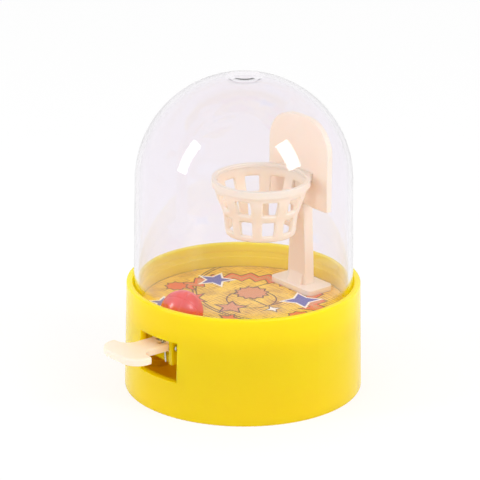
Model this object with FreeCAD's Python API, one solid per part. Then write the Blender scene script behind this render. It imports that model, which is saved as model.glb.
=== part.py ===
import FreeCAD, Part
import math
import os

# A palm-sized basketball game. A round base holds a printed court under a clear dome.
# A finger lever at the front kicks the ball up off its hole towards the hoop.
# Sizes are in millimetres and +Z is up. The lever points along -Y and the hoop stands
# on the +Y side. The origin is the middle of the base's underside, on the table.

# Base shell
base_radius = 28.0
base_height = 26.3
base_draft = 0.6
base_wall = 1.5
base_edge_round = 0.5
ledge_height = 1.0
ledge_reach = 0.9
window_left = 4.0
window_right = 8.65
window_head_gap = 0.4
key_width = 2.0
key_reach = 1.0
key_gap = 0.15

# Court plate and its card
court_depth = 5.9
court_plate_thickness = 1.2
court_plate_gap = 0.2
card_thickness = 0.3
card_edge_gap = 0.6
card_hole_gap = 0.4

# Bottom cover, its three screws and the bosses that they hold
cover_thickness = 1.6
cover_gap = 0.2
cover_boss_radius = 3.0
cover_boss_height = 1.6
shell_boss_radius = 2.5
shell_boss_height = 10.0
shell_boss_inset = 4.0
shell_rib_thickness = 1.2
cover_screw_radius = 1.1
cover_screw_length = 7.5
cover_screw_head_radius = 1.9
cover_screw_head_height = 1.2
cover_screw_sink = 0.3
boss_angles = (90.0, 210.0, 330.0)

# Screws of both sizes
screw_hole_gap = 0.2
screw_thread_gap = 0.03
screw_tip_length = 0.8
screw_tip_radius = 0.3
drive_slot_width = 0.5
drive_slot_depth = 0.6
drive_slot_edge = 0.4

# Clear dome
dome_side_gap = 0.15
dome_draft = 0.5
dome_wall = 1.1
dome_side_height = 30.9
dome_bead_rise = 2.4
dome_bead_height = 1.4
dome_bead_bite = 0.15
dome_bead_gap = 0.1
gate_well_radius = 3.7
gate_well_depth = 0.45
gate_nub_radius = 0.9
gate_nub_height = 0.35

# Ball and its hole in the court
ball_radius = 5.0
ball_seam_radius = 0.22
ball_seam_share = 0.6
ball_turn = 45.0
launch_hole_lip = 0.5
ball_rest_gap = 0.02

# Launch lever, worked out from its pivot, and how far a finger presses it
lever_travel = 44.0
lever_sill_gap = 1.25
lever_stop_gap = 0.07
lever_overhang = 10.6
lever_width = 6.4
lever_thickness = 1.8
lever_hub_wall = 0.75
lever_shoulder = 3.4
pad_width = 14.8
pad_length = 5.6
pad_side_flat = 0.9
pad_back_round = 0.6
pad_flare = 3.0
lever_edge_round = 0.4
pivot_inset = 4.4
pivot_drop = 3.5
striker_reach = 5.15
striker_radius = 2.0
striker_gap = 0.35
striker_round = 0.7
tongue_radius = 2.4
spring_slot_side_gap = 0.3
spring_slot_back_gap = 0.3
spring_notch_front_gap = 1.6

# Pivot pin, its bracket and the bracket's two screws
pin_radius = 0.8
pin_running_gap = 0.05
pin_end_reach = 0.2
pin_end_chamfer = 0.2
bracket_side_gap = 0.3
bracket_ear_thickness = 1.2
bracket_ear_reach = 1.7
bracket_flange_thickness = 1.2
bracket_flange_reach = 4.4
bracket_bar_height = 1.8
bracket_bar_inset = 3.4
stop_length = 1.0
stop_gap = 0.1
mount_boss_radius = 2.0
mount_boss_height = 1.8
mount_boss_outside = 2.2
mount_boss_forward = 3.6
mount_screw_radius = 0.85
mount_screw_tip_gap = 0.15
mount_hole_roof = 0.25
mount_screw_head_radius = 1.5
mount_screw_head_height = 1.0

# Return spring
spring_wire_radius = 0.225
spring_pin_gap = 0.15
spring_pitch = 0.9
spring_whole_turns = 2
spring_fixed_leg = 4.0
spring_moving_leg = 4.9
spring_touch_gap = 0.05

# Hoop stand and its clip
board_setback = 8.05
foot_width = 15.0
foot_dome_gap = 1.55
foot_thickness = 1.3
foot_forward = 2.4
foot_corner = 1.5
post_foot_width = 6.8
post_width = 4.8
post_height = 20.4
post_gusset = 2.6
tongue_thickness = 1.2
tongue_height = 11.6
stand_peg_radius = 1.6
stand_peg_length = 3.5
stand_lug_radius = 0.9
stand_lug_length = 1.2
stand_lug_spread = 5.0
peg_hole_gap = 0.1
clip_radius = 3.1
clip_thickness = 0.5
clip_slot_width = 0.5
clip_slot_reach = 0.8
clip_slots = 6

# Backboard
board_side_reach = 0.4
board_dome_gap = 2.3
board_thickness = 1.6
board_corner = 8.4
board_rib_thickness = 0.9
board_rib_depth = 0.9
board_rib_gap = 0.1

# Rim ring
ring_rise = 8.5
ring_radius = 11.8
ring_wall = 1.4
ring_height = 1.8
ring_seat_bite = 0.3
ring_lip_sink = 0.55
ring_lip_reach = 0.6
heel_width = 11.0
heel_depth = 2.4
tab_width = 6.0
tab_height = 2.6
tab_thickness = 0.85
ring_peg_radius = 0.6
ring_peg_spread = 1.5
ring_peg_gap = 0.05

# Net basket
net_wall = 0.9
net_height = 13.4
net_belly_draw = 0.6
net_neck_draw = 2.05
net_bottom_draw = 2.85
net_fit_gap = 0.06
net_belly_drop_share = 0.343
net_neck_drop_share = 0.552
net_row_top_shares = (0.216, 0.612)
net_row_height_shares = (0.261, 0.284)
net_columns = 10
net_window_angle = 20.0
net_first_window_angle = 9.0

# Shared
overrun = 1.0
touch = 0.001
full_turn = 360.0
half_turn = 180.0
quarter_turn = 90.0
arc_chord_angle = 45.0
along_x = FreeCAD.Vector(1, 0, 0)
along_y = FreeCAD.Vector(0, 1, 0)
along_z = FreeCAD.Vector(0, 0, 1)
origin = FreeCAD.Vector(0, 0, 0)

# Heights and radii that several pieces share
foot_radius = base_radius + base_draft
rim_bore = base_radius - base_wall
ledge_radius = rim_bore - ledge_reach
court_top = base_height - court_depth
court_underside = court_top - court_plate_thickness
card_top = court_top + card_thickness
window_top = court_underside - window_head_gap
cover_boss_top = cover_thickness + cover_boss_height
boss_circle = rim_bore - shell_boss_inset
shell_rib_reach = shell_boss_inset + base_wall / 2
screw_seat = cover_screw_sink + cover_screw_head_height
skirt_radius = rim_bore - dome_side_gap
dome_radius = skirt_radius - dome_draft
dome_centre = court_top + dome_side_height
dome_top = dome_centre + dome_radius
dome_inside = dome_radius - dome_wall
bead_low = court_top + dome_bead_rise
bead_radius = rim_bore + dome_bead_bite
card_radius = skirt_radius - dome_wall - card_edge_gap

# The lever's pivot, the hole above its striker and the ball on the hole
pivot_y = -(base_radius - pivot_inset)
pivot_z = court_underside - pivot_drop
lever_hub_radius = pin_radius + pin_running_gap + lever_hub_wall
launch_hole_radius = ball_radius - launch_hole_lip
hole_y = pivot_y + striker_reach
lever_top = pivot_z + lever_thickness / 2
lever_underside = pivot_z - lever_thickness / 2
ball_lift = math.sqrt(ball_radius ** 2 - launch_hole_radius ** 2)
ball_z = court_top + ball_lift + ball_rest_gap
striker_top = ball_z - ball_radius - striker_gap

# The return spring's coil round the pin, between a leg straight down and a leg under the arm
spring_coil_radius = pin_radius + spring_pin_gap + spring_wire_radius
spring_drop = spring_coil_radius - spring_wire_radius - lever_thickness / 2 - spring_touch_gap
spring_lift_angle = math.degrees(math.asin(spring_drop / spring_moving_leg))
spring_sweep = half_turn + quarter_turn + spring_lift_angle + full_turn * spring_whole_turns
spring_width = spring_pitch * spring_sweep / full_turn


def pressed_underside(reach):
    # Height of the fully pressed arm's underside, at a distance in front of the pivot.
    turn = math.radians(lever_travel)
    return pivot_z - reach * math.tan(turn) - lever_thickness / 2 / math.cos(turn)


# The bracket under the court plate, whose bar stops the pressed arm, and the window's sill
mount_face = court_underside - mount_boss_height
mount_y = pivot_y + mount_boss_forward
ear_inside = lever_width / 2 + bracket_side_gap
ear_outside = ear_inside + bracket_ear_thickness
mount_boss_offset = ear_outside + mount_boss_outside
flange_underside = mount_face - bracket_flange_thickness
mount_hole_top = court_top - mount_hole_roof
mount_screw_length = mount_hole_top - mount_screw_tip_gap - flange_underside
spring_leg_y = pivot_y - spring_coil_radius
bar_front = spring_leg_y + spring_wire_radius + spring_touch_gap
bar_back = pivot_y + bracket_bar_inset
bar_top = pressed_underside(pivot_y - bar_front) - lever_stop_gap
bracket_low = bar_top - bracket_bar_height
window_sill = pressed_underside(pivot_inset) - lever_sill_gap

# The hoop, from the board's front face
board_front = dome_inside - board_setback
board_back = board_front + board_thickness
post_back = board_back + tongue_thickness
stand_y = (board_front + post_back) / 2
foot_top = card_top + foot_thickness
board_low = foot_top + post_height
board_high = dome_centre + math.sqrt((dome_inside - board_dome_gap) ** 2 - board_back ** 2)
foot_front = board_front - foot_forward
foot_back = math.sqrt((dome_inside + dome_draft - foot_dome_gap) ** 2 - (foot_width / 2) ** 2)
ring_bore_radius = ring_radius - ring_wall
board_width = 2 * (ring_bore_radius + board_side_reach)
ring_top = board_low + ring_rise
ring_underside = ring_top - ring_height
ring_y = board_front + ring_seat_bite - ring_radius
lip_seat = ring_top - ring_lip_sink
ring_peg_z = ring_underside - tab_height / 2
net_top_radius = ring_bore_radius - net_fit_gap
net_low = ring_top - net_height


def vector(x, y, z):
    return FreeCAD.Vector(x, y, z)


def upright_cylinder(radius, low, high, x=0.0, y=0.0):
    return Part.makeCylinder(radius, high - low, vector(x, y, low))


def upright_ring(outer, inner, low, high, x=0.0, y=0.0):
    return upright_cylinder(outer, low, high, x, y).cut(upright_cylinder(inner, low, high, x, y))


def cross_cylinder(radius, half_length, y, z):
    return Part.makeCylinder(radius, half_length * 2, vector(-half_length, y, z), along_x)


def block(x_low, x_high, y_low, y_high, z_low, z_high):
    corner = vector(x_low, y_low, z_low)
    return Part.makeBox(x_high - x_low, y_high - y_low, z_high - z_low, corner)


def centred_block(half_width, y_low, y_high, z_low, z_high):
    return block(-half_width, half_width, y_low, y_high, z_low, z_high)


def face_of(corners):
    return Part.Face(Part.makePolygon(corners + corners[:1]))


def turned(profile):
    corners = [vector(radius, 0, height) for radius, height in profile]
    return face_of(corners).revolve(origin, along_z, full_turn)


def upright_edges(solid):
    return [edge for edge in solid.Edges if edge.BoundBox.ZLength > touch]


def edges_at(solid, height):
    return [
        edge
        for edge in solid.Edges
        if edge.BoundBox.ZLength < touch and abs(edge.BoundBox.ZMin - height) < touch
    ]


def on_circle(radius, angle):
    turn = math.radians(angle)
    return radius * math.cos(turn), radius * math.sin(turn)


def base_profile():
    groove_radius = bead_radius + dome_bead_gap
    groove_low = bead_low - dome_bead_gap
    groove_high = bead_low + dome_bead_height + dome_bead_gap
    groove_slope = groove_radius - rim_bore
    ledge_low = court_underside - ledge_height
    return [
        (foot_radius, 0),
        (base_radius, base_height),
        (rim_bore, base_height),
        (rim_bore, groove_high),
        (groove_radius, groove_high - groove_slope),
        (groove_radius, groove_low + groove_slope),
        (rim_bore, groove_low),
        (rim_bore, court_underside),
        (ledge_radius, court_underside),
        (ledge_radius, ledge_low),
        (rim_bore, ledge_low - ledge_reach),
        (rim_bore, 0),
    ]


def shell_boss(angle):
    x, y = on_circle(boss_circle, angle)
    top = cover_boss_top + shell_boss_height
    rib = block(0, shell_rib_reach, -shell_rib_thickness / 2, shell_rib_thickness / 2,
                cover_boss_top, top)
    rib.translate(vector(boss_circle, 0, 0))
    rib.rotate(origin, along_z, angle)
    pilot_top = screw_seat + cover_screw_length + screw_hole_gap
    pilot = upright_cylinder(cover_screw_radius + screw_thread_gap, cover_boss_top, pilot_top, x, y)
    return upright_cylinder(shell_boss_radius, cover_boss_top, top, x, y).fuse(rib).cut(pilot)


def make_base_shell():
    shell = turned(base_profile())
    edge_round = min(base_edge_round, base_wall / 4)
    outer_edge = max(edges_at(shell, 0), key=lambda edge: edge.Length)
    shell = shell.makeFillet(edge_round, edges_at(shell, base_height) + [outer_edge])
    window = block(-window_left, window_right, -foot_radius - overrun, 0, window_sill, window_top)
    shell = shell.cut(window)
    key = centred_block(key_width / 2, rim_bore - key_reach, rim_bore + base_wall / 2,
                        court_underside, court_top - key_gap)
    return shell.fuse([key] + [shell_boss(angle) for angle in boss_angles]).removeSplitter()


def make_bottom_cover():
    cover = upright_cylinder(rim_bore - cover_gap, 0, cover_thickness)
    for angle in boss_angles:
        x, y = on_circle(boss_circle, angle)
        cover = cover.fuse(upright_cylinder(cover_boss_radius, 0, cover_boss_top, x, y))
    for angle in boss_angles:
        x, y = on_circle(boss_circle, angle)
        sink = upright_cylinder(cover_screw_head_radius + screw_hole_gap, 0, screw_seat, x, y)
        hole = upright_cylinder(cover_screw_radius + screw_hole_gap, 0, cover_boss_top, x, y)
        cover = cover.cut(sink).cut(hole)
    return cover.removeSplitter()


def upright_screw(radius, length, head_radius, head_height, seat, x, y):
    # The head is below its seat and the shank points up, with a short tapered end.
    head = upright_cylinder(head_radius, seat - head_height, seat, x, y)
    shank = upright_cylinder(radius, seat, seat + length - screw_tip_length, x, y)
    tip_base = vector(x, y, seat + length - screw_tip_length)
    tip = Part.makeCone(radius, screw_tip_radius, screw_tip_length, tip_base)
    reach = head_radius - drive_slot_edge
    low = seat - head_height
    slot = centred_block(reach, -drive_slot_width / 2, drive_slot_width / 2, low, low + drive_slot_depth)
    cross = slot.copy()
    cross.rotate(origin, along_z, quarter_turn)
    for cut in (slot, cross):
        cut.translate(vector(x, y, 0))
    return head.fuse([shank, tip]).cut(slot).cut(cross)


def make_cover_screws():
    screws = []
    for angle in boss_angles:
        x, y = on_circle(boss_circle, angle)
        screws.append(upright_screw(cover_screw_radius, cover_screw_length, cover_screw_head_radius,
                                    cover_screw_head_height, screw_seat, x, y))
    return Part.makeCompound(screws)


def make_court_plate():
    plate = upright_cylinder(rim_bore - court_plate_gap, court_underside, court_top)
    for side in (-1, 1):
        plate = plate.fuse(upright_cylinder(mount_boss_radius, mount_face, court_underside,
                                            side * mount_boss_offset, mount_y))
    plate = plate.cut(upright_cylinder(launch_hole_radius, court_underside, court_top, 0, hole_y))
    for side in (-1, 1):
        plate = plate.cut(upright_cylinder(mount_screw_radius + screw_thread_gap, mount_face, mount_hole_top,
                                           side * mount_boss_offset, mount_y))
    notch = centred_block(key_width / 2 + key_gap, rim_bore - key_reach - key_gap, base_radius,
                          court_underside, court_top)
    return cut_stand_holes(plate.cut(notch), court_underside, court_top)


def cut_stand_holes(plate, low, high):
    plate = plate.cut(upright_cylinder(stand_peg_radius + peg_hole_gap, low, high, 0, stand_y))
    for side in (-1, 1):
        plate = plate.cut(upright_cylinder(stand_lug_radius + peg_hole_gap, low, high,
                                           side * stand_lug_spread, stand_y))
    return plate


def make_court_card():
    card = upright_cylinder(card_radius, court_top, card_top)
    hole = upright_cylinder(launch_hole_radius + card_hole_gap, court_top, card_top, 0, hole_y)
    return cut_stand_holes(card.cut(hole), court_top, card_top)


def dome_solid(inset, low):
    # A slightly tapered skirt under half a ball, as a solid body shrunk by the inset.
    lower = skirt_radius - inset
    upper = dome_radius - inset
    waist = vector(upper, 0, dome_centre)
    crown = vector(0, 0, dome_centre + upper)
    across, up = on_circle(upper, arc_chord_angle)
    middle = vector(across, 0, dome_centre + up)
    edges = [
        Part.LineSegment(vector(0, 0, low), vector(lower, 0, low)).toShape(),
        Part.LineSegment(vector(lower, 0, low), waist).toShape(),
        Part.Arc(waist, middle, crown).toShape(),
        Part.LineSegment(crown, vector(0, 0, low)).toShape(),
    ]
    return Part.Face(Part.Wire(edges)).revolve(origin, along_z, full_turn)


def make_clear_dome():
    outside = dome_solid(0, court_top)
    bead_slope = bead_radius - rim_bore + dome_side_gap
    bead_high = bead_low + dome_bead_height
    inner = skirt_radius - dome_wall / 2
    bead = turned([
        (inner, bead_low),
        (skirt_radius, bead_low),
        (bead_radius, bead_low + bead_slope),
        (bead_radius, bead_high - bead_slope),
        (skirt_radius - dome_draft, bead_high),
        (inner, bead_high),
    ])
    well_floor = dome_top - gate_well_depth
    well = upright_cylinder(gate_well_radius, well_floor, dome_top + overrun)
    nub = upright_cylinder(gate_nub_radius, well_floor - dome_wall / 4, well_floor + gate_nub_height)
    dome = outside.fuse(bead).cut(well).fuse(nub)
    return dome.cut(dome_solid(dome_wall, court_top))


def make_hoop_stand():
    foot = centred_block(foot_width / 2, foot_front, foot_back, card_top, foot_top)
    foot = foot.makeFillet(foot_corner, upright_edges(foot))
    post = face_of([
        vector(-post_foot_width / 2, board_front, card_top),
        vector(post_foot_width / 2, board_front, card_top),
        vector(post_width / 2, board_front, board_low),
        vector(-post_width / 2, board_front, board_low),
    ]).extrude(along_y * (post_back - board_front))
    gusset = face_of([
        vector(-post_width / 2, board_front, card_top),
        vector(-post_width / 2, board_front - foot_forward / 2, foot_top),
        vector(-post_width / 2, board_front, foot_top + post_gusset),
    ]).extrude(along_x * post_width)
    tongue = centred_block(post_width / 2, board_back, post_back, board_low - overrun,
                           board_low + tongue_height)
    peg = upright_cylinder(stand_peg_radius, card_top - stand_peg_length, foot_top, 0, stand_y)
    stand = foot.fuse([post, gusset, tongue, peg])
    for side in (-1, 1):
        stand = stand.fuse(upright_cylinder(stand_lug_radius, card_top - stand_lug_length, foot_top,
                                            side * stand_lug_spread, stand_y))
    return cut_ring_peg_holes(stand).removeSplitter()


def ring_peg(side, radius, front, back):
    start = vector(side * ring_peg_spread, front, ring_peg_z)
    return Part.makeCylinder(radius, back - front, start, along_y)


def cut_ring_peg_holes(piece):
    for side in (-1, 1):
        piece = piece.cut(ring_peg(side, ring_peg_radius + ring_peg_gap, board_front, post_back))
    return piece


def make_stand_clip():
    clip = upright_ring(clip_radius, stand_peg_radius, court_underside - clip_thickness,
                        court_underside, 0, stand_y)
    reach = stand_peg_radius + clip_slot_reach
    for step in range(clip_slots):
        slot = block(0, reach, -clip_slot_width / 2, clip_slot_width / 2,
                     court_underside - clip_thickness, court_underside)
        slot.rotate(origin, along_z, full_turn * step / clip_slots)
        slot.translate(vector(0, stand_y, 0))
        clip = clip.cut(slot)
    return clip


def arched_outline(y):
    half = board_width / 2
    corner = min(board_corner, half - touch)
    shoulder = board_high - corner
    flat = half - corner
    across, up = on_circle(corner, arc_chord_angle)
    middle_x, middle_z = flat + across, shoulder + up
    low_left, low_right = vector(-half, y, board_low), vector(half, y, board_low)
    right, left = vector(half, y, shoulder), vector(-half, y, shoulder)
    top_right, top_left = vector(flat, y, board_high), vector(-flat, y, board_high)
    return [
        Part.LineSegment(low_left, low_right).toShape(),
        Part.LineSegment(low_right, right).toShape(),
        Part.Arc(right, vector(middle_x, y, middle_z), top_right).toShape(),
        Part.LineSegment(top_right, top_left).toShape(),
        Part.Arc(top_left, vector(-middle_x, y, middle_z), left).toShape(),
        Part.LineSegment(left, low_left).toShape(),
    ]


def make_backboard():
    board = Part.Face(Part.Wire(arched_outline(board_front))).extrude(along_y * board_thickness)
    rib_inside = post_width / 2 + board_rib_gap
    rib_outside = rib_inside + board_rib_thickness
    rib_top = board_low + tongue_height
    for low, high in ((-rib_outside, -rib_inside), (rib_inside, rib_outside)):
        rib = block(low, high, board_back, board_back + board_rib_depth, board_low, rib_top)
        board = board.fuse(rib)
    return cut_ring_peg_holes(board).removeSplitter()


def make_rim_ring():
    ring = upright_cylinder(ring_radius, ring_underside, ring_top, 0, ring_y)
    heel = centred_block(heel_width / 2, board_front - heel_depth, board_front, ring_underside, ring_top)
    tab = centred_block(tab_width / 2, board_front - tab_thickness, board_front,
                        ring_underside - tab_height, ring_top)
    behind = centred_block(ring_radius, board_front, board_front + ring_radius, ring_underside, ring_top)
    ring = ring.fuse([heel, tab]).cut(behind)
    ring = ring.cut(upright_cylinder(ring_bore_radius, ring_underside, ring_top, 0, ring_y))
    lip_radius = ring_bore_radius + ring_lip_reach
    ring = ring.cut(upright_cylinder(lip_radius, lip_seat, ring_top, 0, ring_y))
    pegs = [ring_peg(side, ring_peg_radius, board_front - tab_thickness / 2, post_back) for side in (-1, 1)]
    return ring.fuse(pegs).removeSplitter()


def net_body(inset, low, high):
    # The basket's shape as a solid body shrunk by the inset, on the Z axis.
    inside = net_top_radius - inset
    neck = vector(inside - net_neck_draw, 0, ring_top - net_height * net_neck_drop_share)
    belly = vector(inside - net_belly_draw, 0, ring_top - net_height * net_belly_drop_share)
    shoulder = vector(inside, 0, ring_underside)
    bottom = vector(inside - net_bottom_draw, 0, low)
    top = vector(inside, 0, high)
    edges = [
        Part.LineSegment(vector(0, 0, low), bottom).toShape(),
        Part.LineSegment(bottom, neck).toShape(),
        Part.Arc(neck, belly, shoulder).toShape(),
        Part.LineSegment(shoulder, top).toShape(),
        Part.LineSegment(top, vector(0, 0, high)).toShape(),
        Part.LineSegment(vector(0, 0, high), vector(0, 0, low)).toShape(),
    ]
    return Part.Face(Part.Wire(edges)).revolve(origin, along_z, full_turn)


def net_window(angle, low, high):
    half = net_window_angle / 2
    corners = [vector(0, 0, low)]
    for edge_angle in (angle - half, angle + half):
        x, y = on_circle(ring_radius * 2, edge_angle)
        corners.append(vector(x, y, low))
    return face_of(corners).extrude(along_z * (high - low))


def make_net_basket():
    lip = upright_cylinder(net_top_radius + ring_lip_reach - net_fit_gap, lip_seat, ring_top)
    net = net_body(0, net_low, ring_top).fuse(lip).cut(net_body(net_wall, net_low, ring_top))
    for top_share, height_share in zip(net_row_top_shares, net_row_height_shares):
        high = ring_top - net_height * top_share
        low = high - net_height * height_share
        for column in range(net_columns):
            angle = net_first_window_angle + full_turn * column / net_columns
            net = net.cut(net_window(angle, low, high))
    net.translate(vector(0, ring_y, 0))
    return net


def lever_plate():
    # The arm and its finger pad. The pad has round front corners and flares out of the arm.
    half, pad_half = lever_width / 2, pad_width / 2
    tip_y = -(base_radius + lever_overhang)
    back_y = tip_y + pad_length
    shoulder_y = pivot_y + lever_shoulder
    right = [(pad_half, tip_y), (pad_half, back_y), (half, back_y), (half, shoulder_y)]
    left = [(-x, y) for x, y in reversed(right)]
    outline = [vector(x, y, lever_underside) for x, y in right + left]
    plate = face_of(outline).extrude(along_z * lever_thickness)
    for reach, y, radius in (
        (pad_half, tip_y, pad_length - pad_side_flat),
        (pad_half, back_y, pad_back_round),
        (half, back_y, pad_flare),
    ):
        corners = [
            edge
            for edge in upright_edges(plate)
            if abs(abs(edge.CenterOfMass.x) - reach) < touch and abs(edge.CenterOfMass.y - y) < touch
        ]
        plate = plate.makeFillet(radius, corners)
    rim = [
        edge
        for edge in edges_at(plate, lever_underside) + edges_at(plate, lever_top)
        if edge.BoundBox.YMin < shoulder_y - touch
    ]
    return plate.makeFillet(min(lever_edge_round, lever_thickness / 4), rim)


def make_launch_lever():
    half = lever_width / 2
    plate = lever_plate()
    tongue = centred_block(tongue_radius, pivot_y, hole_y, lever_underside, lever_top)
    nose = upright_cylinder(tongue_radius, lever_underside, lever_top, 0, hole_y)
    striker = upright_cylinder(striker_radius, lever_underside, striker_top, 0, hole_y)
    striker = striker.makeFillet(striker_round, edges_at(striker, striker_top))
    hub = cross_cylinder(lever_hub_radius, half, pivot_y, pivot_z)
    lever = plate.fuse([tongue, nose, striker, hub])
    hub_low, hub_high = pivot_z - lever_hub_radius, pivot_z + lever_hub_radius
    coil_reach = spring_coil_radius + spring_wire_radius
    leg_side = spring_wire_radius + spring_slot_side_gap
    slot = centred_block(spring_width / 2 + leg_side, pivot_y - coil_reach - spring_slot_side_gap,
                         pivot_y + lever_hub_radius + spring_slot_back_gap, hub_low, hub_high)
    notch = block(spring_width / 2 - leg_side, spring_width / 2 + leg_side,
                  pivot_y - coil_reach - spring_notch_front_gap, pivot_y, hub_low, hub_high)
    bore = cross_cylinder(pin_radius + pin_running_gap, half, pivot_y, pivot_z)
    return lever.cut(slot).cut(notch).cut(bore).removeSplitter()


def make_pivot_pin():
    pin = cross_cylinder(pin_radius, ear_outside + pin_end_reach, pivot_y, pivot_z)
    ends = [edge for edge in pin.Edges if edge.BoundBox.XLength < touch]
    return pin.makeChamfer(pin_end_chamfer, ends)


def bracket_ear(side):
    front = pivot_y - bracket_ear_reach
    flange_back = mount_y + mount_boss_radius
    outline = [
        (front, mount_face),
        (front, bracket_low),
        (bar_back, bracket_low),
        (bar_back, pivot_z - lever_hub_radius),
        (flange_back, flange_underside),
        (flange_back, mount_face),
    ]
    start = ear_inside if side > 0 else -ear_outside
    ear = face_of([vector(start, y, z) for y, z in outline])
    return ear.extrude(along_x * bracket_ear_thickness)


def make_pivot_bracket():
    bar = centred_block(ear_outside, bar_front, bar_back, bracket_low, bar_top)
    stop_front = bar_back - stop_length
    stop = centred_block(tongue_radius, stop_front, bar_back, bracket_low, lever_underside - stop_gap)
    bracket = bar.fuse([stop, bracket_ear(-1), bracket_ear(1)])
    flange_outside = ear_outside + bracket_flange_reach
    for low, high in ((-flange_outside, -ear_inside), (ear_inside, flange_outside)):
        flange = block(low, high, mount_y - mount_boss_radius, mount_y + mount_boss_radius,
                       flange_underside, mount_face)
        bracket = bracket.fuse(flange)
    bracket = bracket.cut(cross_cylinder(pin_radius, ear_outside, pivot_y, pivot_z))
    for side in (-1, 1):
        hole = upright_cylinder(mount_screw_radius + screw_hole_gap, flange_underside, mount_face,
                                side * mount_boss_offset, mount_y)
        bracket = bracket.cut(hole)
    return bracket.removeSplitter()


def make_bracket_screws():
    screws = [
        upright_screw(mount_screw_radius, mount_screw_length, mount_screw_head_radius,
                      mount_screw_head_height, flange_underside, side * mount_boss_offset, mount_y)
        for side in (-1, 1)
    ]
    return Part.makeCompound(screws)


def coil_place(angle):
    # Point and direction on the coil, wound from the fixed leg down to the moving leg.
    done = (half_turn - angle) / spring_sweep
    turn = math.radians(angle)
    across, up = on_circle(spring_coil_radius, angle)
    point = vector(spring_width / 2 - spring_width * done, pivot_y + across, pivot_z + up)
    speed = spring_coil_radius * math.radians(spring_sweep)
    direction = vector(-spring_width, speed * math.sin(turn), -speed * math.cos(turn))
    return point, direction.normalize()


def tangent_arc(start, corner, end):
    # The arc that touches both lines from the corner, whose ends are equally far from it.
    middle = (start + end) / 2
    rise = corner - middle
    half_chord = (end - start).Length / 2
    sagitta = half_chord * math.tan(math.atan2(rise.Length, half_chord) / 2)
    return Part.Arc(start, middle + rise.normalize() * sagitta, end).toShape()


def biarc(start, start_direction, end, end_direction):
    chord = end - start
    both = start_direction + end_direction
    a = 2 * (1 - start_direction.dot(end_direction))
    b = 2 * chord.dot(both)
    c = -chord.dot(chord)
    reach = (math.sqrt(b * b - 4 * a * c) - b) / (2 * a)
    first_corner = start + start_direction * reach
    second_corner = end - end_direction * reach
    joint = (first_corner + second_corner) / 2
    return [tangent_arc(start, first_corner, joint), tangent_arc(joint, second_corner, end)]


def spring_path():
    steps = math.ceil(spring_sweep / quarter_turn)
    places = [coil_place(half_turn - spring_sweep * step / steps) for step in range(steps + 1)]
    first, first_direction = places[0]
    last, last_direction = places[-1]
    edges = [Part.LineSegment(first - first_direction * spring_fixed_leg, first).toShape()]
    for (start, start_direction), (end, end_direction) in zip(places, places[1:]):
        edges += biarc(start, start_direction, end, end_direction)
    edges.append(Part.LineSegment(last, last + last_direction * spring_moving_leg).toShape())
    return Part.Wire(edges), first - first_direction * spring_fixed_leg, first_direction


def least_coil_gap(path):
    # Points half a turn or more apart along the wire, less one wire's thickness.
    spacing = spring_wire_radius
    points = path.discretize(Distance=spacing)
    skip = math.ceil(math.pi * spring_coil_radius / spacing)
    return min(
        (near - far).Length
        for place, near in enumerate(points)
        for far in points[place + skip:]
    ) - spring_wire_radius * 2


def make_return_spring():
    path, start, direction = spring_path()
    section = Part.Wire(Part.Circle(start, direction, spring_wire_radius).toShape())
    print("return_spring wire length", round(path.Length, 2), "least gap", round(least_coil_gap(path), 2))
    return path.makePipeShell([section], True, False)


def make_game_ball():
    ball = Part.makeSphere(ball_radius)
    for axis in (along_x, along_y):
        ball = ball.cut(Part.makeTorus(ball_radius, ball_seam_radius, origin, axis))
    offset = ball_radius * ball_seam_share
    seam_circle = math.sqrt(ball_radius ** 2 - offset ** 2)
    for side in (-1, 1):
        ball = ball.cut(Part.makeTorus(seam_circle, ball_seam_radius, along_z * offset * side, along_z))
    ball.rotate(origin, along_x + along_y + along_z, ball_turn)
    ball.translate(vector(0, hole_y, ball_z))
    return ball


pieces = {
    "base_shell": make_base_shell,
    "bottom_cover": make_bottom_cover,
    "cover_screws": make_cover_screws,
    "court_plate": make_court_plate,
    "court_card": make_court_card,
    "clear_dome": make_clear_dome,
    "hoop_stand": make_hoop_stand,
    "stand_clip": make_stand_clip,
    "backboard": make_backboard,
    "rim_ring": make_rim_ring,
    "net_basket": make_net_basket,
    "launch_lever": make_launch_lever,
    "pivot_pin": make_pivot_pin,
    "pivot_bracket": make_pivot_bracket,
    "bracket_screws": make_bracket_screws,
    "return_spring": make_return_spring,
    "game_ball": make_game_ball,
}

os.makedirs("parts", exist_ok=True)
for name, make in pieces.items():
    shape = make()
    box = shape.BoundBox
    spans = [round(value, 2) for value in (box.XLength, box.YLength, box.ZLength)]
    volume = round(shape.Volume, 2)
    print(name, "solids", len(shape.Solids), "volume", volume, "valid", shape.isValid(), spans)
    shape.exportStep(os.path.join("parts", name + ".step"))
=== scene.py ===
import math

import bmesh
import bpy
from mathutils import Matrix, Vector


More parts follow.
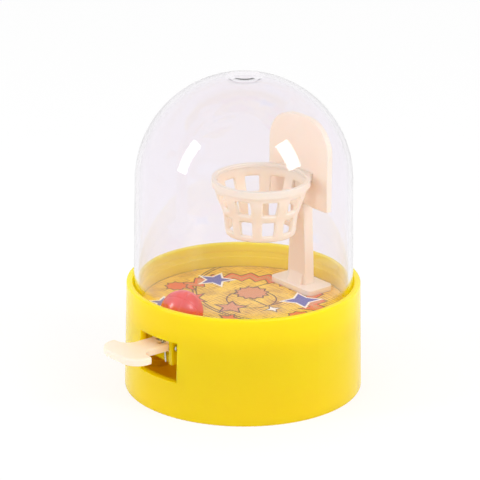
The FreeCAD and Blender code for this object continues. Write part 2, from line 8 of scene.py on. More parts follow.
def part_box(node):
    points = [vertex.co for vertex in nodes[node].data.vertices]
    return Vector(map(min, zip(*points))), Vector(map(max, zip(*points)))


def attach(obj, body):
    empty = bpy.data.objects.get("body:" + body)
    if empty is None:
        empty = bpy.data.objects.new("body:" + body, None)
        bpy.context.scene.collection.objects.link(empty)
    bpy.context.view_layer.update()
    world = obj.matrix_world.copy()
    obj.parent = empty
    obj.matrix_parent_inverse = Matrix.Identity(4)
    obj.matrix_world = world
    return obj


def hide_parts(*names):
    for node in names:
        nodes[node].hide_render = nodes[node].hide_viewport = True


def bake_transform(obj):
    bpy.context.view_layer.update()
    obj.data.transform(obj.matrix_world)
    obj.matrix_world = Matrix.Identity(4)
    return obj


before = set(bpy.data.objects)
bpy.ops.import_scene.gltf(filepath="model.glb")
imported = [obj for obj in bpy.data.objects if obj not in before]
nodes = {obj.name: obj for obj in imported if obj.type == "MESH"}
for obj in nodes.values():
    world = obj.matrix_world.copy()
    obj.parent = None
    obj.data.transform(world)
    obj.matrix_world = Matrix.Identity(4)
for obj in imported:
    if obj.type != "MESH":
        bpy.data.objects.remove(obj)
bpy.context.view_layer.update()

# Looks of a palm-sized basketball game: a round base with a printed court and a launch lever, under a clear
# dome. Blender works in metres here, so settings that are given in millimetres are multiplied by mm.

mm = 0.001
print("frame loaded with", len(nodes), "nodes")


def linearColour(hexText):
    # an sRGB hex colour as the linear values that the shaders use
    parts = [int(hexText[start:start + 2], 16) / 255 for start in (1, 3, 5)]
    return tuple(c / 12.92 if c <= 0.04045 else ((c + 0.055) / 1.055) ** 2.4 for c in parts) + (1,)


def addNode(tree, kind, inputs=(), output=0, **settings):
    # Adds one node and returns one of its outputs. An input is a value, or the output that feeds it. It is
    # named, or numbered where a node has several of one name.
    node = tree.nodes.new(kind)
    for name, value in settings.items():
        setattr(node, name, value)
    for key, value in (inputs.items() if isinstance(inputs, dict) else enumerate(inputs)):
        if isinstance(value, bpy.types.NodeSocket):
            tree.links.new(value, node.inputs[key])
        else:
            node.inputs[key].default_value = value
    return node.outputs[output]


def newMaterial(name, values):
    material = bpy.data.materials.new(name)
    material.use_nodes = True
    tree = material.node_tree
    shader = tree.nodes["Principled BSDF"]
    for socket, value in values.items():
        shader.inputs[socket].default_value = value
    return material, tree, shader


def letLightPass(tree, shader, colour, rays):
    # lets these rays straight through the surface, each taking its colour on the way
    seen = shader.outputs[0]
    for ray in rays:
        isRay = addNode(tree, "ShaderNodeLightPath", output=ray)
        passing = addNode(tree, "ShaderNodeBsdfTransparent", {"Color": linearColour(colour)})
        seen = addNode(tree, "ShaderNodeMixShader", (isRay, seen, passing))
    tree.links.new(seen, tree.nodes["Material Output"].inputs["Surface"])


def inMillimetres(tree):
    # the piece's own coordinates in millimetres, so that each pattern has its real size
    place = addNode(tree, "ShaderNodeTexCoord", output="Object")
    return addNode(tree, "ShaderNodeVectorMath", {0: place, "Scale": 1 / mm}, operation="SCALE")


def driftingColour(tree, place, size, colour, otherColour):
    # one colour that drifts into another over about this many millimetres
    drift = addNode(tree, "ShaderNodeTexNoise", {"Vector": place, "Scale": 1 / size, "Detail": 2})
    return addNode(tree, "ShaderNodeMix", {
        0: drift, 6: linearColour(colour), 7: linearColour(otherColour)}, 2, data_type="RGBA")


def newPiece(name, mesh, material, body, replaced):
    piece = bpy.data.objects.new(name, mesh)
    bpy.context.scene.collection.objects.link(piece)
    mesh.materials.clear()
    mesh.materials.append(material)
    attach(piece, body)
    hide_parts(replaced)


def lathedMesh(name, outline, segments, sharpAngle):
    # Turns an outline of (radius, height) in millimetres round the Z axis. It starts and ends on the axis,
    # and its shading is smooth but for corners over the sharp angle, in degrees.
    shape = bmesh.new()
    rings = []
    for radius, height in outline:
        if radius == 0:
            rings.append([shape.verts.new((0, 0, height * mm))])
            continue
        turns = [2 * math.pi * step / segments for step in range(segments)]
        rings.append([
            shape.verts.new((radius * mm * math.cos(turn), radius * mm * math.sin(turn), height * mm))
            for turn in turns
        ])
    for upper, lower in zip(rings, rings[1:]):
        for step in range(segments):
            after = (step + 1) % segments
            corners = [upper[step % len(upper)], lower[step % len(lower)],
                       lower[after % len(lower)], upper[after % len(upper)]]
            shape.faces.new(list(dict.fromkeys(corners)))
    bmesh.ops.recalc_face_normals(shape, faces=shape.faces)
    mesh = bpy.data.meshes.new(name)
    shape.to_mesh(mesh)
    shape.free()
    mesh.shade_smooth()
    mesh.set_sharp_from_angle(angle=math.radians(sharpAngle))
    return mesh


def arcPoints(radius, middleHeight, startAngle, endAngle, steps):
    # (radius, height) along a circle round a point on the axis
    angles = [math.radians(startAngle + (endAngle - startAngle) * step / steps) for step in range(steps + 1)]
    return [(radius * math.cos(angle), middleHeight + radius * math.sin(angle)) for angle in angles]


# Camera, at the photograph's angle

cameraSettings = {
    "azimuth": 51.0,
    "elevation": 19.5,
    "distance": 0.7,
    "clip": (0.05, 20.0),
    "aimHeight": 35.2 * mm,
    "roll": 0.3,
    "lens": 220.3,
    "frameSize": 480,
    "aimPixel": (243.7, 243.9),
}


def makeCamera(look):
    turn, rise = math.radians(look["azimuth"]), math.radians(look["elevation"])
    back = Vector((math.sin(turn) * math.cos(rise), -math.cos(turn) * math.cos(rise), math.sin(rise)))
    data = bpy.data.cameras.new("photoCamera")
    data.lens = look["lens"]
    data.clip_start, data.clip_end = look["clip"]
    half = look["frameSize"] / 2
    data.shift_x = (half - look["aimPixel"][0]) / look["frameSize"]
    data.shift_y = (look["aimPixel"][1] - half) / look["frameSize"]
    camera = bpy.data.objects.new("photoCamera", data)
    bpy.context.scene.collection.objects.link(camera)
    facing = back.to_track_quat("Z", "Y").to_matrix().to_4x4()
    roll = Matrix.Rotation(math.radians(look["roll"]), 4, "Z")
    aim = Vector((0, 0, look["aimHeight"]))
    camera.matrix_world = Matrix.Translation(aim + back * look["distance"]) @ facing @ roll
    bpy.context.scene.camera = camera


makeCamera(cameraSettings)
print("camera placed")


# Plastics

yellowSettings = {
    "name": "glossyYellowPolystyreneMoulded",
    "passes": "#FBEC68",
    "shader": {"IOR": 1.57, "Specular IOR Level": 0.2, "Subsurface Weight": 1.0, "Subsurface Scale": 7.0 * mm,
               "Subsurface Radius": (0.8, 0.8, 0.05)},
    "colour": "#FCD30A",
    "flowColour": "#FACA06",
    "flowSize": 18.0,
    "handledSize": 6.0,
    "roughness": (0.17, 0.23),
    "handledRange": (0.35, 0.65),
    "peelSize": 1.1,
    "peelHeight": 0.0012,
    "edgeRadius": 0.25,
}

creamSettings = {
    "name": "creamPolyethyleneMoulded",
    "passes": "#B8A490",
    "shader": {"IOR": 1.51, "Specular IOR Level": 0.4, "Subsurface Weight": 0.5, "Subsurface Scale": 1.6 * mm,
               "Subsurface Radius": (1.0, 0.7, 0.5)},
    "colour": "#FAEBDC",
    "flowColour": "#F7E2CF",
    "flowSize": 7.0,
    "handledSize": 3.0,
    "roughness": (0.32, 0.42),
    "handledRange": (0.35, 0.65),
    "peelSize": 0.8,
    "peelHeight": 0.003,
    "edgeRadius": 0.25,
}


def mouldedPlastic(look):
    # Injection-moulded plastic, a little translucent: light glows through its thin walls. The colour drifts
    # slowly where the melt flowed, the skin has a faint orange peel, handling dulls it in patches, and the
    # edges catch the light as if the mould had rounded them a little.
    material, tree, shader = newMaterial(look["name"], look["shader"])
    place = inMillimetres(tree)
    colour = driftingColour(tree, place, look["flowSize"], look["colour"], look["flowColour"])
    tree.links.new(colour, shader.inputs["Base Color"])
    handled = addNode(tree, "ShaderNodeTexNoise", {
        "Vector": place, "Scale": 1 / look["handledSize"], "Detail": 5})
    dullness = addNode(tree, "ShaderNodeMapRange", (handled, *look["handledRange"], *look["roughness"]))
    tree.links.new(dullness, shader.inputs["Roughness"])
    peel = addNode(tree, "ShaderNodeTexNoise", {"Vector": place, "Scale": 1 / look["peelSize"], "Detail": 0})
    rounded = addNode(tree, "ShaderNodeBevel", {"Radius": look["edgeRadius"] * mm}, samples=6)
    bump = addNode(tree, "ShaderNodeBump", {
        "Height": peel, "Distance": look["peelHeight"] * mm, "Normal": rounded})
    tree.links.new(bump, shader.inputs["Normal"])
    letLightPass(tree, shader, look["passes"], ("Is Shadow Ray",))
    return material


domeLook = {
    "tint": "#F9F6FA",
    "passes": "#FFFFFF",
    "shader": {"IOR": 1.49, "Transmission Weight": 1.0, "Roughness": 0.02},
    "waveSize": 9.0,
    "waveHeight": 0.012,
}


def clearPolystyrene(look):
    # Clear moulded polystyrene: hardly tinted, polished by its mould, with a slow waviness in the wall.
    # Light passes straight through, from the lamps and from what is round it, so that the inside is lit.
    material, tree, shader = newMaterial("clearPolystyreneMoulded", look["shader"])
    shader.inputs["Base Color"].default_value = linearColour(look["tint"])
    place = inMillimetres(tree)
    wave = addNode(tree, "ShaderNodeTexNoise", {"Vector": place, "Scale": 1 / look["waveSize"], "Detail": 1})
    bump = addNode(tree, "ShaderNodeBump", {"Height": wave, "Distance": look["waveHeight"] * mm})
    tree.links.new(bump, shader.inputs["Normal"])
    letLightPass(tree, shader, look["passes"], ("Is Shadow Ray", "Is Diffuse Ray"))
    return material


ballLook = {
    "colour": "#EE4C46",
    "driftColour": "#DE3B34",
    "shader": {"IOR": 1.52, "Roughness": 0.22, "Subsurface Weight": 0.4, "Subsurface Scale": 1.6 * mm,
               "Subsurface Radius": (1.0, 0.3, 0.14), "Coat Weight": 0.25, "Coat Roughness": 0.08},
    "driftSize": 3.0,
    "pebbleSize": 0.55,
    "pebbleHeight": 0.012,
}


def redPolyvinyl(look):
    # Red moulded vinyl: light goes a little way in, and the skin has the fine pebbles of a ball.
    material, tree, shader = newMaterial("redVinylPebbled", look["shader"])
    place = inMillimetres(tree)
    colour = driftingColour(tree, place, look["driftSize"], look["colour"], look["driftColour"])
    tree.links.new(colour, shader.inputs["Base Color"])
    pebbles = addNode(tree, "ShaderNodeTexVoronoi", {"Vector": place, "Scale": 1 / look["pebbleSize"]},
                      "Distance", feature="SMOOTH_F1")
    bump = addNode(tree, "ShaderNodeBump", {"Height": pebbles, "Distance": look["pebbleHeight"] * mm},
                   invert=True)
    tree.links.new(bump, shader.inputs["Normal"])
    return material


steelLook = {
    "colour": "#C9CBD0",
    "shader": {"Metallic": 1.0},
    "roughness": (0.22, 0.4),
    "spangleSize": 0.7,
    "spangleRange": (0.3, 0.7),
}


def zincPlatedSteel(look):
    # Zinc-plated steel: a bright, slightly uneven grey with small duller patches in the plating.
    material, tree, shader = newMaterial("zincPlatedSteel", look["shader"])
    shader.inputs["Base Color"].default_value = linearColour(look["colour"])
    place = inMillimetres(tree)
    patches = addNode(tree, "ShaderNodeTexNoise", {
        "Vector": place, "Scale": 1 / look["spangleSize"], "Detail": 4})
    dullness = addNode(tree, "ShaderNodeMapRange", (patches, *look["spangleRange"], *look["roughness"]))
    tree.links.new(dullness, shader.inputs["Roughness"])
    return material


# The printed court: offset print on coated card, with generic motifs of our own

cardLook = {
    "ground": "#FFDE46",
    "groundShade": "#FBC434",
    "hatch": "#B87418",
    "line": "#6A3C1C",
    "orange": "#EE6A34",
    "brown": "#DF9160",
    "blue": "#5B60B4",
    "white": "#FFF8EC",
    "passes": "#D0C098",
    "shader": {"Roughness": 0.34, "IOR": 1.5, "Coat Weight": 0.12, "Coat Roughness": 0.2},
    "shadeSize": 9.0,
    "hatchPitch": 0.8,
    "hatchBend": 2.0,
    "hatchBendSize": 5.0,
    "hatchPatchSize": 3.2,
    "hatchThinning": (-0.7, 0.24),
    "hatchEdge": 0.09,
    "lineWidth": 0.35,
    "inkEdge": 0.06,
    "fibreSize": 0.4,
    "fibreHeight": 0.005,
    # the court's rings: x, y, radius
    "rings": ((0, 2.5, 6.0), (0, 14.0, 22.5), (0, 14.0, 23.3)),
    # the free-throw lane: middle x, middle y, half width, half length
    "lane": (0, 10.0, 6.0, 7.5),
    # the zigzag ribbon near the rim: mean radius, thickness, swing, teeth in a full turn, and the way that
    # its middle faces and its half span in degrees; then its inks from the outside in, and each one's inset
    "ribbon": {
        "radius": 17.0,
        "thickness": 4.4,
        "swing": 2.4,
        "teeth": 26,
        "facing": 115.0,
        "halfSpan": 84.0,
        "inks": ((0.0, "line"), (0.45, "orange"), (1.4, "brown")),
    },
    # each star-like motif: x, y, radius at its points, radius at its notches as a share of that, points,
    # turn in degrees, fill, outline, outline width
    "motifs": (
        (-16.0, 4.0, 5.4, 0.46, 5, 20, "blue", "white", 0.5),
        (-3.4, 5.3, 4.6, 0.8, 12, 0, "brown", "line", 0.4),
        (-9.7, -8.8, 5.2, 0.46, 5, 50, "orange", "line", 0.4),
        (8.0, 11.5, 5.6, 0.45, 4, 30, "blue", "white", 0.5),
        (1.2, -4.8, 4.6, 0.46, 5, 8, "brown", "line", 0.4),
        (8.3, 2.3, 2.6, 0.4, 4, 15, "white", "line", 0.3),
        (-11.2, -15.4, 4.6, 0.46, 5, 0, "blue", "white", 0.5),
        (-18.5, -6.2, 3.2, 0.78, 9, 10, "orange", "line", 0.3),
        (6.6, -9.8, 3.6, 0.46, 5, 30, "orange", "line", 0.4),
        (16.0, 4.4, 3.6, 0.78, 9, 0, "orange", "line", 0.3),
        (12.4, -13.6, 4.2, 0.42, 4, 40, "blue", "white", 0.5),
    ),
}


def makeStarGroup():
    # Distance in millimetres from the edge of a star, below zero inside it. The place is turned and folded
    # into half a point, where the star has one straight edge, given by its normal and offset.
    group = bpy.data.node_groups.new("starDistance", "ShaderNodeTree")
    for name, kind in (("Place", "Vector"), ("Centre", "Vector"), ("Half Point", "Float"), ("Turn", "Float"),
                       ("Normal", "Vector"), ("Offset", "Float")):
        group.interface.new_socket(name, in_out="INPUT", socket_type="NodeSocket" + kind)
    group.interface.new_socket("Distance", in_out="OUTPUT", socket_type="NodeSocketFloat")
    given = group.nodes.new("NodeGroupInput").outputs
    away = addNode(group, "ShaderNodeVectorMath", (given["Place"], given["Centre"]), operation="SUBTRACT")
    x, y = addNode(group, "ShaderNodeSeparateXYZ", (away,)).node.outputs[:2]
    angle = addNode(group, "ShaderNodeMath", (y, x), operation="ARCTAN2")
    turned = addNode(group, "ShaderNodeMath", (angle, given["Turn"]), operation="ADD")
    folded = addNode(group, "ShaderNodeMath", (turned, given["Half Point"]), operation="PINGPONG")
    reach = addNode(group, "ShaderNodeVectorMath", (away,), "Value", operation="LENGTH")
    straight = addNode(group, "ShaderNodeCombineXYZ", (reach,))
    place = addNode(group, "ShaderNodeVectorRotate", {"Vector": straight, "Angle": folded},
                    rotation_type="Z_AXIS")
    along = addNode(group, "ShaderNodeVectorMath", (place, given["Normal"]), "Value", operation="DOT_PRODUCT")
    distance = addNode(group, "ShaderNodeMath", (along, given["Offset"]), operation="SUBTRACT")
    group.links.new(distance, group.nodes.new("NodeGroupOutput").inputs[0])
    return group


def printedCard(look):
    # Coated card with an offset print in flat inks: a yellow court with thin lines, a zigzag ribbon and
    # stars. Each ink covers the one before where its distance is below zero.
    material, tree, shader = newMaterial("offsetPrintedCoatedCard", look["shader"])
    place = inMillimetres(tree)
    flat = addNode(tree, "ShaderNodeVectorMath", (place, (1, 1, 0)), operation="MULTIPLY")
    x, y = addNode(tree, "ShaderNodeSeparateXYZ", (flat,)).node.outputs[:2]

    def printInk(under, distance, ink, edge=look["inkEdge"]):
        cover = addNode(tree, "ShaderNodeMapRange", (distance, -edge, edge, 1.0, 0.0),
                        interpolation_type="SMOOTHSTEP")
        return addNode(tree, "ShaderNodeMix", {0: cover, 6: under, 7: linearColour(look[ink])}, 2,
                       data_type="RGBA")

    def printLine(under, distance):
        beside = addNode(tree, "ShaderNodeMath", (distance,), operation="ABSOLUTE")
        edge = addNode(tree, "ShaderNodeMath", (beside, look["lineWidth"] / 2), operation="SUBTRACT")
        return printInk(under, edge, "line")

    colour = driftingColour(tree, place, look["shadeSize"], look["ground"], look["groundShade"])

    # fine pen strokes that run away from the lever, bent and thinned out by slow noise
    wobble = addNode(tree, "ShaderNodeTexNoise", {
        "Vector": place, "Scale": 1 / look["hatchBendSize"], "Detail": 1})
    bent = addNode(tree, "ShaderNodeMath", (wobble, look["hatchBend"], x), operation="MULTIPLY_ADD")
    stroke = addNode(tree, "ShaderNodeMath", (bent, look["hatchPitch"] / 2), operation="PINGPONG")
    patches = addNode(tree, "ShaderNodeTexNoise", {
        "Vector": place, "Scale": 1 / look["hatchPatchSize"], "Detail": 2})
    gaps = addNode(tree, "ShaderNodeMath", (patches, *look["hatchThinning"]), operation="MULTIPLY_ADD")
    hatch = addNode(tree, "ShaderNodeMath", (stroke, gaps), operation="ADD")
    colour = printInk(colour, hatch, "hatch", look["hatchEdge"])

    for ringX, ringY, radius in look["rings"]:
        reach = addNode(tree, "ShaderNodeVectorMath", (flat, (ringX, ringY, 0)), "Value",
                        operation="DISTANCE")
        colour = printLine(colour, addNode(tree, "ShaderNodeMath", (reach, radius), operation="SUBTRACT"))
    laneX, laneY, halfWidth, halfLength = look["lane"]
    sides = []
    for across, middle, half in ((x, laneX, halfWidth), (y, laneY, halfLength)):
        offset = addNode(tree, "ShaderNodeMath", (across, middle), operation="SUBTRACT")
        beside = addNode(tree, "ShaderNodeMath", (offset,), operation="ABSOLUTE")
        sides.append(addNode(tree, "ShaderNodeMath", (beside, half), operation="SUBTRACT"))
    colour = printLine(colour, addNode(tree, "ShaderNodeMath", sides, operation="MAXIMUM"))

    colour = printRibbon(tree, flat, colour, printInk, look["ribbon"])

    starGroup = makeStarGroup()
    for starX, starY, radius, share, points, turned, fill, outline, edge in look["motifs"]:
        halfPoint = math.pi / points
        tip = Vector((radius, 0, 0))
        side = share * radius * Vector((math.cos(halfPoint), math.sin(halfPoint), 0)) - tip
        normal = Vector((side.y, -side.x, 0)).normalized()
        star = addNode(tree, "ShaderNodeGroup", {
            "Place": flat, "Centre": (starX, starY, 0), "Half Point": halfPoint, "Turn": math.radians(turned),
            "Normal": normal, "Offset": normal.dot(tip)}, node_tree=starGroup)
        colour = printInk(colour, star, outline)
        inset = addNode(tree, "ShaderNodeMath", (star, edge), operation="ADD")
        colour = printInk(colour, inset, fill)

    tree.links.new(colour, shader.inputs["Base Color"])
    fibres = addNode(tree, "ShaderNodeTexNoise", {
        "Vector": place, "Scale": 1 / look["fibreSize"], "Detail": 3})
    bump = addNode(tree, "ShaderNodeBump", {"Height": fibres, "Distance": look["fibreHeight"] * mm})
    tree.links.new(bump, shader.inputs["Normal"])
    letLightPass(tree, shader, look["passes"], ("Is Shadow Ray",))
    return material


def printRibbon(tree, flat, colour, printInk, look):
    # a band of constant width whose mean radius swings to and fro, cut off square at both ends
    facing = addNode(tree, "ShaderNodeVectorRotate", {"Vector": flat, "Angle": -math.radians(look["facing"])},
                     rotation_type="Z_AXIS")
    x, y = addNode(tree, "ShaderNodeSeparateXYZ", (facing,)).node.outputs[:2]
    turn = addNode(tree, "ShaderNodeMath", (y, x), operation="ARCTAN2")
    teeth = addNode(tree, "ShaderNodeMath", (turn, look["teeth"] / math.pi), operation="MULTIPLY")
    wave = addNode(tree, "ShaderNodeMath", (teeth, 1.0), operation="PINGPONG")
    middle = addNode(tree, "ShaderNodeMath", (wave, look["swing"], look["radius"] - look["swing"] / 2),
                     operation="MULTIPLY_ADD")
    reach = addNode(tree, "ShaderNodeVectorMath", (flat,), "Value", operation="LENGTH")
    offset = addNode(tree, "ShaderNodeMath", (reach, middle), operation="SUBTRACT")
    beside = addNode(tree, "ShaderNodeMath", (offset,), operation="ABSOLUTE")
    side = addNode(tree, "ShaderNodeMath", (beside, look["thickness"] / 2), operation="SUBTRACT")
    around = addNode(tree, "ShaderNodeMath", (turn,), operation="ABSOLUTE")
    halfSpan = math.radians(look["halfSpan"])
    past = addNode(tree, "ShaderNodeMath", (around, look["radius"], -halfSpan * look["radius"]),
                   operation="MULTIPLY_ADD")
    band = addNode(tree, "ShaderNodeMath", (side, past), operation="MAXIMUM")
    for inset, ink in look["inks"]:
        edge = addNode(tree, "ShaderNodeMath", (band, inset), operation="ADD")
        colour = printInk(colour, edge, ink)
    return colour


yellow = mouldedPlastic(yellowSettings)
cream = mouldedPlastic(creamSettings)
clear = clearPolystyrene(domeLook)
red = redPolyvinyl(ballLook)
steel = zincPlatedSteel(steelLook)
card = printedCard(cardLook)
print("materials made")

nodeMaterials = {
    "base_shell": yellow, "bottom_cover": yellow, "court_plate": yellow, "pivot_bracket": yellow,
    "court_card": card, "clear_dome": clear, "hoop_stand": cream, "backboard": cream, "rim_ring": cream,
    "net_basket": cream, "launch_lever": cream, "game_ball": red, "cover_screws": steel,
    "bracket_screws": steel, "stand_clip": steel, "pivot_pin": steel, "return_spring": steel,
}
for name, material in nodeMaterials.items():
    nodes[name].data.materials.clear()
    nodes[name].data.materials.append(material)
print("nodes dressed")


# Clear dome, turned as one even shell

domeSettings = {
    "wall": 1.1,
    "draft": 0.5,
    "sideHeight": 30.9,
    "beadReach": 0.3,
    "beadRise": 2.4,
    "beadHeight": 1.4,
    "beadSteps": 14,
    "beadSwell": 0.04,
    "markRadius": 3.7,
    "markRise": 0.18,
    "markSlope": 1.5,
    "markSteps": 8,
    "segments": 192,
    "arcSteps": 44,
    "sharpAngle": 35,
}


def makeDome(look):
    low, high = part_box("clear_dome")
    foot, beadRadius = low.z / mm, high.x / mm
    skirt = beadRadius - look["beadReach"]
    waist = skirt - look["draft"]
    middle = foot + look["sideHeight"]

    # at the crown the sprue left a round mark that stands a little above the dome
    crown = waist + look["markRise"]
    markAngle = math.degrees(math.acos(look["markRadius"] / waist))
    outside = [(0, middle + crown)]
    outside += arcPoints(crown, middle, 90, markAngle + look["markSlope"] / 2, look["markSteps"])[1:]
    outside += arcPoints(waist, middle, markAngle - look["markSlope"] / 2, 0, look["arcSteps"])

    # the bead that snaps into the rim: a soft swell, since a full one bends the rim behind it into dark lines
    for step in range(-1, look["beadSteps"] + 2):
        share = step / look["beadSteps"]
        height = look["beadRise"] + look["beadHeight"] * (1 - share)
        swell = 0
        if 0 < share < 1:
            swell = look["beadSwell"] * (1 - math.cos(2 * math.pi * share)) / 2
        side = skirt - look["draft"] * height / look["sideHeight"]
        outside.append((side + swell, foot + height))
    outside.append((skirt, foot))
    inside = [(skirt - look["wall"], foot)]
    inside += arcPoints(waist - look["wall"], middle, 0, 90, look["arcSteps"])[:-1]
    inside.append((0, middle + waist - look["wall"]))
    mesh = lathedMesh("clearDome", outside + inside, look["segments"], look["sharpAngle"])
    newPiece("clearDome", mesh, clear, "base", "clear_dome")


makeDome(domeSettings)
print("dome turned")


# Ball with sunken seams

ballSettings = {
    "seamWidth": 0.24,
    "seamDepth": 0.14,
    "seamShare": 0.6,
    "turnAxis": (1, 1, 1),
    "turn": 45,
    "detail": 6,
}


def makeBall(look):
    low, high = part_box("game_ball")
    centre = (low + high) / 2
    radius = (high.z - low.z) / 2
    shape = bmesh.new()
    bmesh.ops.create_icosphere(shape, subdivisions=look["detail"], radius=radius)
    turn = Matrix.Rotation(math.radians(look["turn"]), 3, Vector(look["turnAxis"]).normalized())
    for vert in shape.verts:
        way = vert.co.normalized()
        away = min(abs(math.asin(way.x)), abs(math.asin(way.y)),
                   abs(math.asin(way.z) - math.asin(look["seamShare"])),
                   abs(math.asin(way.z) + math.asin(look["seamShare"]))) * radius / mm
        sink = look["seamDepth"] * math.exp(-(away / look["seamWidth"]) ** 2) * mm
        vert.co = centre + turn @ (way * (radius - sink))
    mesh = bpy.data.meshes.new("gameBall")
    shape.to_mesh(mesh)
    shape.free()
    mesh.shade_smooth()
    newPiece("gameBall", mesh, red, "ball", "game_ball")


makeBall(ballSettings)
print("ball made")


# Return spring, between the base and the lever


def makeSpring():
    # The coil runs along X. Its leg at the far +X end bears on the base, the one at the other end on the
    # lever. The copy stays fixed where the part stands and does not wind up.
    piece = bpy.data.objects.new("returnSpring", nodes["return_spring"].data.copy())
    bpy.context.scene.collection.objects.link(piece)
    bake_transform(piece)
    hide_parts("return_spring")


makeSpring()
print("spring made")


# Net basket: a turned shell with rows of soft windows, made by Geometry Nodes

netSettings = {
    "columns": 10,
    "windowAngle": 20.0,
    "firstWindowAngle": 9.0,
    "wall": 0.9,
    "crease": 0.45,
    "creaseAngle": 1.0,
    "smoothing": 2,
    "mergeReach": 0.01,
    # drop below the top and radius of each ring of points; the third value opens windows below that ring
    "rings": (
        (0.0, 10.84, 0), (0.5, 10.84, 0), (0.95, 10.33, 0), (2.9, 10.2, 1), (4.65, 9.72, 1), (6.4, 8.9, 0),
        (8.2, 8.2, 1), (10.1, 7.96, 1), (12.0, 7.7, 0), (13.4, 7.5, 0),
    ),
}


def makeNetTree():
    # A ring of spokes carries the profile round. Faces between an opening spoke and an opening ring of
    # the profile are left out, and the rest gets its wall and soft corners.
    tree = bpy.data.node_groups.new("windowedShell", "GeometryNodeTree")
    for name, kind in (("Profile", "Object"), ("Spokes", "Object"), ("Wall", "Float"), ("Crease", "Float"),
                       ("Crease Angle", "Float"), ("Smoothing", "Int"), ("Merge Reach", "Float"),
                       ("Material", "Material")):
        tree.interface.new_socket(name, in_out="INPUT", socket_type="NodeSocket" + kind)
    tree.interface.new_socket("Geometry", in_out="OUTPUT", socket_type="NodeSocketGeometry")
    given = tree.nodes.new("NodeGroupInput").outputs

    profile = addNode(tree, "GeometryNodeObjectInfo", {"Object": given["Profile"]}, "Geometry")
    spokes = addNode(tree, "GeometryNodeObjectInfo", {"Object": given["Spokes"]}, "Geometry")
    rings = addNode(tree, "GeometryNodeAttributeDomainSize", (profile,), "Point Count")
    turns = addNode(tree, "GeometryNodeAttributeDomainSize", (spokes,), "Point Count")
    grid = addNode(tree, "GeometryNodeMeshGrid", {"Vertices X": turns, "Vertices Y": rings})
    index = addNode(tree, "GeometryNodeInputIndex")
    place = addNode(tree, "GeometryNodeInputPosition")
    opens = addNode(tree, "GeometryNodeInputNamedAttribute", {"Name": "opens"}, data_type="FLOAT")

    # a grid point's number gives its spoke and its ring
    ring = addNode(tree, "ShaderNodeMath", (index, rings), operation="FLOORED_MODULO")
    share = addNode(tree, "ShaderNodeMath", (index, rings), operation="DIVIDE")
    spoke = addNode(tree, "ShaderNodeMath", (share,), operation="FLOOR")
    ringPlace = addNode(tree, "GeometryNodeSampleIndex", {
        "Geometry": profile, "Value": place, "Index": ring}, data_type="FLOAT_VECTOR")
    spokePlace = addNode(tree, "GeometryNodeSampleIndex", {
        "Geometry": spokes, "Value": place, "Index": spoke}, data_type="FLOAT_VECTOR")
    radius = addNode(tree, "ShaderNodeSeparateXYZ", (ringPlace,))
    height = addNode(tree, "ShaderNodeVectorMath", (ringPlace, (0, 0, 1)), operation="MULTIPLY")
    level = addNode(tree, "ShaderNodeVectorMath", {0: spokePlace, "Scale": radius}, operation="SCALE")
    carried = addNode(tree, "ShaderNodeVectorMath", (level, height), operation="ADD")
    turned = addNode(tree, "GeometryNodeSetPosition", {"Geometry": grid, "Position": carried})

    # and a face's number gives the spoke and the ring before it
    faceRings = addNode(tree, "ShaderNodeMath", (rings, 1.0), operation="SUBTRACT")
    faceRing = addNode(tree, "ShaderNodeMath", (index, faceRings), operation="FLOORED_MODULO")
    faceShare = addNode(tree, "ShaderNodeMath", (index, faceRings), operation="DIVIDE")
    faceSpoke = addNode(tree, "ShaderNodeMath", (faceShare,), operation="FLOOR")
    ringOpens = addNode(tree, "GeometryNodeSampleIndex", {
        "Geometry": profile, "Value": opens, "Index": faceRing}, data_type="FLOAT")
    spokeOpens = addNode(tree, "GeometryNodeSampleIndex", {
        "Geometry": spokes, "Value": opens, "Index": faceSpoke}, data_type="FLOAT")
    window = addNode(tree, "ShaderNodeMath", (ringOpens, spokeOpens), operation="MULTIPLY")
    pierced = addNode(tree, "GeometryNodeDeleteGeometry", {"Geometry": turned, "Selection": window},
                      domain="FACE")
    skin = addNode(tree, "GeometryNodeMergeByDistance", {
        "Geometry": pierced, "Distance": given["Merge Reach"]})

    # the wall: the skin pushed inwards, joined to the first skin turned over
    inwards = addNode(tree, "ShaderNodeMath", (given["Wall"], -1.0), operation="MULTIPLY")
    pushed = addNode(tree, "GeometryNodeExtrudeMesh", {
        "Mesh": skin, "Offset Scale": inwards, "Individual": False}, mode="FACES")
    flipped = addNode(tree, "GeometryNodeFlipFaces", {"Mesh": pushed})
    both = addNode(tree, "GeometryNodeJoinGeometry", (flipped,))
    tree.links.new(skin, both.node.inputs[0])
    closed = addNode(tree, "GeometryNodeMergeByDistance", {
        "Geometry": both, "Distance": given["Merge Reach"]})
    bend = addNode(tree, "GeometryNodeInputMeshEdgeAngle")
    corner = addNode(tree, "ShaderNodeMath", (bend, given["Crease Angle"]), operation="GREATER_THAN")
    crease = addNode(tree, "ShaderNodeMath", (corner, given["Crease"]), operation="MULTIPLY")
    smooth = addNode(tree, "GeometryNodeSubdivisionSurface", {
        "Mesh": closed, "Level": given["Smoothing"], "Edge Crease": crease})
    shaded = addNode(tree, "GeometryNodeSetShadeSmooth", (smooth,))
    real = addNode(tree, "GeometryNodeRealizeInstances", (shaded,))
    dressed = addNode(tree, "GeometryNodeSetMaterial", {"Geometry": real, "Material": given["Material"]})
    tree.links.new(dressed, tree.nodes.new("NodeGroupOutput").inputs[0])
    return tree


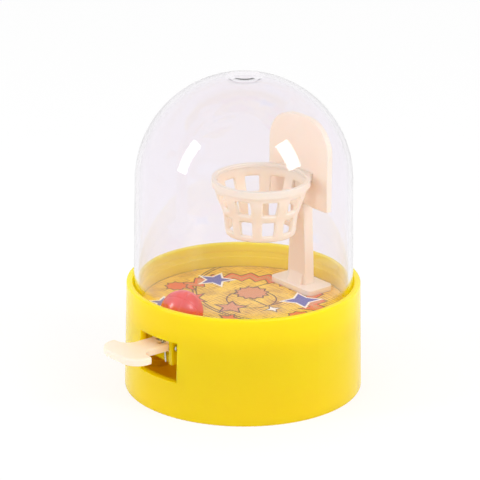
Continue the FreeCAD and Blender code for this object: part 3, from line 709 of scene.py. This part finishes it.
def meshFromTree(name, tree, values):
    # runs a tree once on an empty mesh and keeps what it makes as a plain mesh
    holder = bpy.data.objects.new(name, bpy.data.meshes.new(name + "Empty"))
    bpy.context.scene.collection.objects.link(holder)
    modifier = holder.modifiers.new("tree", "NODES")
    modifier.node_group = tree
    for socket in tree.interface.items_tree:
        if socket.in_out == "INPUT":
            modifier[socket.identifier] = values[socket.name]
    view = bpy.context.evaluated_depsgraph_get()
    mesh = bpy.data.meshes.new_from_object(holder.evaluated_get(view))
    mesh.name = name
    bpy.data.objects.remove(holder)
    return mesh


def outwardFaces(mesh):
    shape = bmesh.new()
    shape.from_mesh(mesh)
    bmesh.ops.recalc_face_normals(shape, faces=shape.faces)
    shape.to_mesh(mesh)
    shape.free()
    return mesh


def openingPoints(name, points, flags):
    # loose points for a tree to read, each with a flag that opens a window after it
    mesh = bpy.data.meshes.new(name)
    mesh.from_pydata(points, [], [])
    attribute = mesh.attributes.new("opens", "FLOAT", "POINT")
    attribute.data.foreach_set("value", [float(flag) for flag in flags])
    return bpy.data.objects.new(name, mesh)


def makeNet(look):
    low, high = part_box("net_basket")
    profile = openingPoints(
        "netProfile", [(radius * mm, 0, high.z - drop * mm) for drop, radius, opens in look["rings"]],
        [opens for drop, radius, opens in look["rings"]])
    pitch, half = 360 / look["columns"], look["windowAngle"] / 2
    turns = [
        math.radians(look["firstWindowAngle"] + pitch * column + offset)
        for column in range(look["columns"])
        for offset in (-half, 0, half, pitch / 2)
    ]
    turns.append(turns[0])  # the last spoke lies on the first and closes the ring
    spokes = openingPoints("netSpokes", [(math.cos(turn), math.sin(turn), 0) for turn in turns],
                           [step % 4 < 2 for step in range(len(turns))])
    mesh = meshFromTree("netBasket", makeNetTree(), {
        "Profile": profile, "Spokes": spokes, "Wall": look["wall"] * mm, "Crease": look["crease"],
        "Crease Angle": look["creaseAngle"], "Smoothing": look["smoothing"],
        "Merge Reach": look["mergeReach"] * mm, "Material": cream})
    for helper in (profile, spokes):
        bpy.data.objects.remove(helper)
    mesh.transform(Matrix.Translation((0, (low.y + high.y) / 2, 0)))
    newPiece("netBasket", outwardFaces(mesh), cream, "base", "net_basket")


makeNet(netSettings)
print("net made")


# Floor, lamps and surroundings

stageSettings = {
    "floorSize": 6.0,
    "floorColour": "#FFFFFF",
    "floorGlow": 0.75,
    "surroundings": 0.85,
}

# each lamp: azimuth round the object from the lever's side, elevation, distance, width, height, strength
lampSettings = {
    "leftSoftBox": (-20, 27, 0.55, 0.10, 0.29, 7.0),
    "rightSoftBox": (110, 34, 0.55, 0.15, 0.26, 7.0),
}
lampAimHeight = 50 * mm


def seenDirectly(tree):
    # 1 where the camera sees the surface, also in a mirror or through the dome, and 0 where it only lights
    rays = addNode(tree, "ShaderNodeLightPath").node.outputs
    seen = addNode(tree, "ShaderNodeMath", (rays["Is Camera Ray"], rays["Is Glossy Ray"]),
                   operation="MAXIMUM")
    return addNode(tree, "ShaderNodeMath", (seen, rays["Is Transmission Ray"]), operation="MAXIMUM")


def makeFloor(look):
    # White paper sweep: matt, and lit from behind to white where it is seen, with a faint shadow left.
    material, tree, shader = newMaterial("whitePaperSweep", {"Roughness": 0.9})
    shader.inputs["Base Color"].default_value = linearColour(look["floorColour"])
    glowing = addNode(tree, "ShaderNodeMath", (seenDirectly(tree), look["floorGlow"]), operation="MULTIPLY")
    glow = addNode(tree, "ShaderNodeEmission")
    both = addNode(tree, "ShaderNodeMixShader", (glowing, shader.outputs[0], glow))
    tree.links.new(both, tree.nodes["Material Output"].inputs["Surface"])
    half = look["floorSize"] / 2
    mesh = bpy.data.meshes.new("floor")
    corners = [(-half, -half, 0), (half, -half, 0), (half, half, 0), (-half, half, 0)]
    mesh.from_pydata(corners, [], [(0, 1, 2, 3)])
    mesh.materials.append(material)
    floor = bpy.data.objects.new("floor", mesh)
    bpy.context.scene.collection.objects.link(floor)


def makeSurroundings(look):
    world = bpy.data.worlds.new("whiteStudio")
    world.use_nodes = True
    bpy.context.scene.world = world
    tree = world.node_tree
    strength = addNode(tree, "ShaderNodeMapRange", (seenDirectly(tree), 0.0, 1.0, look["surroundings"], 1.0))
    background = tree.nodes["Background"]
    background.inputs["Color"].default_value = (1, 1, 1, 1)
    tree.links.new(strength, background.inputs["Strength"])


def makeLamps(lamps):
    aim = Vector((0, 0, lampAimHeight))
    for name, (azimuth, elevation, distance, width, height, strength) in lamps.items():
        data = bpy.data.lights.new(name, "AREA")
        data.shape = "RECTANGLE"
        data.size, data.size_y = width, height
        data.energy = strength * math.pi * width * height
        lamp = bpy.data.objects.new(name, data)
        bpy.context.scene.collection.objects.link(lamp)
        turn, rise = math.radians(azimuth), math.radians(elevation)
        way = Vector((math.sin(turn) * math.cos(rise), -math.cos(turn) * math.cos(rise), math.sin(rise)))
        facing = way.to_track_quat("Z", "Y").to_matrix().to_4x4()
        lamp.matrix_world = Matrix.Translation(aim + way * distance) @ facing


makeFloor(stageSettings)
makeSurroundings(stageSettings)
makeLamps(lampSettings)
bpy.context.scene.view_settings.view_transform = "Standard"
print("stage lit")
